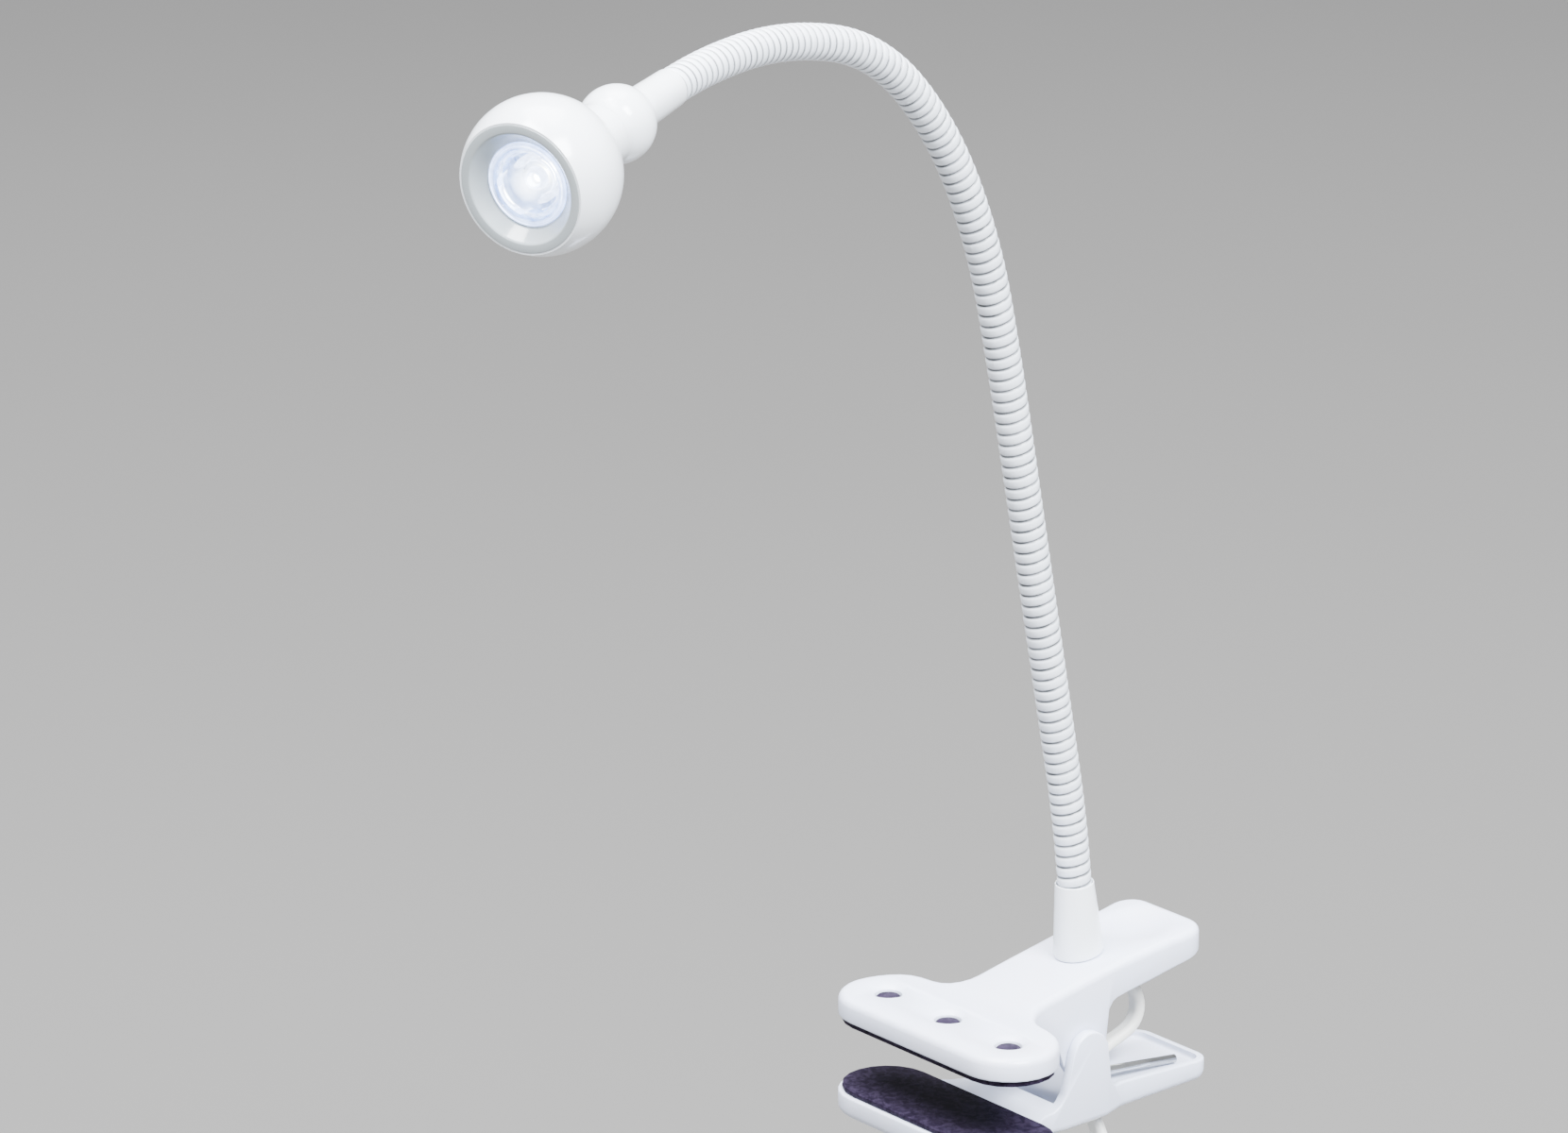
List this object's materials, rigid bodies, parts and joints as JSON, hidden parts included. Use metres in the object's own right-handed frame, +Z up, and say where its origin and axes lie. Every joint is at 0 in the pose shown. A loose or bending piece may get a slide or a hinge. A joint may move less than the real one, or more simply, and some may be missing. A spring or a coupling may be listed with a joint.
{
  "type": "clip-on reading lamp",
  "caption": "White clip-on reading lamp: a spring clip with padded jaws, a bendable goose neck and a ball-shaped spotlight head with a lens, on a cord with a rocker switch and a plug-in driver.",
  "frame": {"origin": "on the upper pad's contact face, under the middle hole of the upper jaw", "axes": "+X along the edge of the board the lamp is clipped to, +Y back from the board to the clip's handles, +Z up out of the board"},
  "size_m": [0.1285, 0.2977, 0.5478],
  "materials": {
    "clip_plastic": "satin",
    "pad_rubber": "satin",
    "spring_steel": "polished",
    "zinc_steel": "satin",
    "hose_paint": "gloss",
    "head_plastic": "gloss",
    "bezel_plastic": "satin",
    "lens_clear": "polished",
    "holder_plastic": "matte",
    "aluminium": "satin",
    "phosphor": "satin",
    "red_wire": "satin",
    "black_wire": "satin",
    "cord_ivory": "satin",
    "tie_plastic": "satin",
    "case_plastic": "satin",
    "plug_brass": "polished",
    "circuit_resin": "satin",
    "ferrite": "matte"
  },
  "bodies": {
    "upper_clip": {"upper_jaw": "clip_plastic", "upper_pad": "pad_rubber", "pivot_pin": "spring_steel", "torsion_spring": "spring_steel", "ferrule": "hose_paint", "neck_stud": "zinc_steel", "stud_washer": "zinc_steel", "stud_nut": "zinc_steel", "cord_bush": "case_plastic", "neck_link_0": "hose_paint", "cord_loop": "cord_ivory", "cord_lead": "cord_ivory", "cord_coil": "cord_ivory", "cord_tie": "tie_plastic", "cord_tail": "cord_ivory", "switch_cover": "case_plastic", "switch_base": "case_plastic", "switch_screw_1": "zinc_steel", "switch_screw_2": "zinc_steel", "cord_end": "cord_ivory", "plug_relief": "case_plastic", "plug_cover": "case_plastic", "plug_case": "case_plastic", "plug_pin_1": "plug_brass", "plug_pin_2": "plug_brass", "driver_board": "circuit_resin", "driver_transformer": "ferrite"},
    "lower_jaw": {"lower_jaw": "clip_plastic", "lower_pad": "pad_rubber"},
    "neck_1": {"neck_link_1": "hose_paint"},
    "neck_2": {"neck_link_2": "hose_paint"},
    "neck_3": {"neck_link_3": "hose_paint"},
    "neck_4": {"neck_link_4": "hose_paint"},
    "neck_5": {"neck_link_5": "hose_paint"},
    "neck_6": {"neck_link_6": "hose_paint"},
    "neck_7": {"neck_link_7": "hose_paint"},
    "neck_8": {"neck_link_8": "hose_paint"},
    "neck_9": {"neck_link_9": "hose_paint", "head_stud": "aluminium", "rear_ball": "head_plastic", "head_shell": "head_plastic", "bezel": "bezel_plastic", "lens": "lens_clear", "lens_holder": "holder_plastic", "led_board": "aluminium", "led_chip": "phosphor", "heat_sink": "aluminium", "board_screw_1": "zinc_steel", "board_screw_2": "zinc_steel", "lead_red": "red_wire", "lead_black": "black_wire"},
    "switch_rocker": {"switch_rocker": "case_plastic"}
  },
  "joints": [
    {"name": "jaw_hinge", "type": "hinge", "parent": "upper_clip", "child": "lower_jaw", "pos_m": [0, 0.039, -0.0067], "axis": [1, 0, 0], "range_deg": [-21, 36], "stiffness_Nm_per_rad": 1.4, "deforming": ["torsion_spring", "cord_loop", "cord_lead"]},
    {"name": "neck_bend_1", "type": "hinge", "parent": "upper_clip", "child": "neck_1", "pos_m": [0.0009, 0.04245, 0.07439], "axis": [0.9989, 0.0072, -0.0465], "range_deg": [-20, 20]},
    {"name": "neck_sway_2", "type": "hinge", "parent": "neck_1", "child": "neck_2", "pos_m": [0.00269, 0.03406, 0.11156], "axis": [0.0032, 0.9755, 0.2198], "range_deg": [-20, 20]},
    {"name": "neck_bend_3", "type": "hinge", "parent": "neck_2", "child": "neck_3", "pos_m": [0.00448, 0.02568, 0.14874], "axis": [0.9989, 0.0072, -0.0465], "range_deg": [-20, 20]},
    {"name": "neck_sway_4", "type": "hinge", "parent": "neck_3", "child": "neck_4", "pos_m": [0.00627, 0.0173, 0.18591], "axis": [0.0032, 0.9755, 0.2198], "range_deg": [-20, 20]},
    {"name": "neck_bend_5", "type": "hinge", "parent": "neck_4", "child": "neck_5", "pos_m": [0.00839, 0.00808, 0.22287], "axis": [0.9979, 0.0115, -0.0634], "range_deg": [-20, 20]},
    {"name": "neck_sway_6", "type": "hinge", "parent": "neck_5", "child": "neck_6", "pos_m": [0.01023, -0.00501, 0.25861], "axis": [0.0138, 0.9071, 0.4207], "range_deg": [-20, 20]},
    {"name": "neck_bend_7", "type": "hinge", "parent": "neck_6", "child": "neck_7", "pos_m": [0.01286, -0.02644, 0.28983], "axis": [0.9939, 0.0461, -0.1005], "range_deg": [-20, 20]},
    {"name": "neck_sway_8", "type": "hinge", "parent": "neck_7", "child": "neck_8", "pos_m": [0.0184, -0.05863, 0.30858], "axis": [0.115, 0.2657, 0.9572], "range_deg": [-20, 20]},
    {"name": "neck_bend_9", "type": "hinge", "parent": "neck_8", "child": "neck_9", "pos_m": [0.02723, -0.09536, 0.31301], "axis": [0.9446, 0.2785, -0.1735], "range_deg": [-20, 20]},
    {"name": "switch_rocker_hinge", "type": "hinge", "parent": "upper_clip", "child": "switch_rocker", "pos_m": [0.0132, 0.0793, -0.0993], "axis": [1, 0, 0], "range_deg": [-12, 0]}
  ]
}
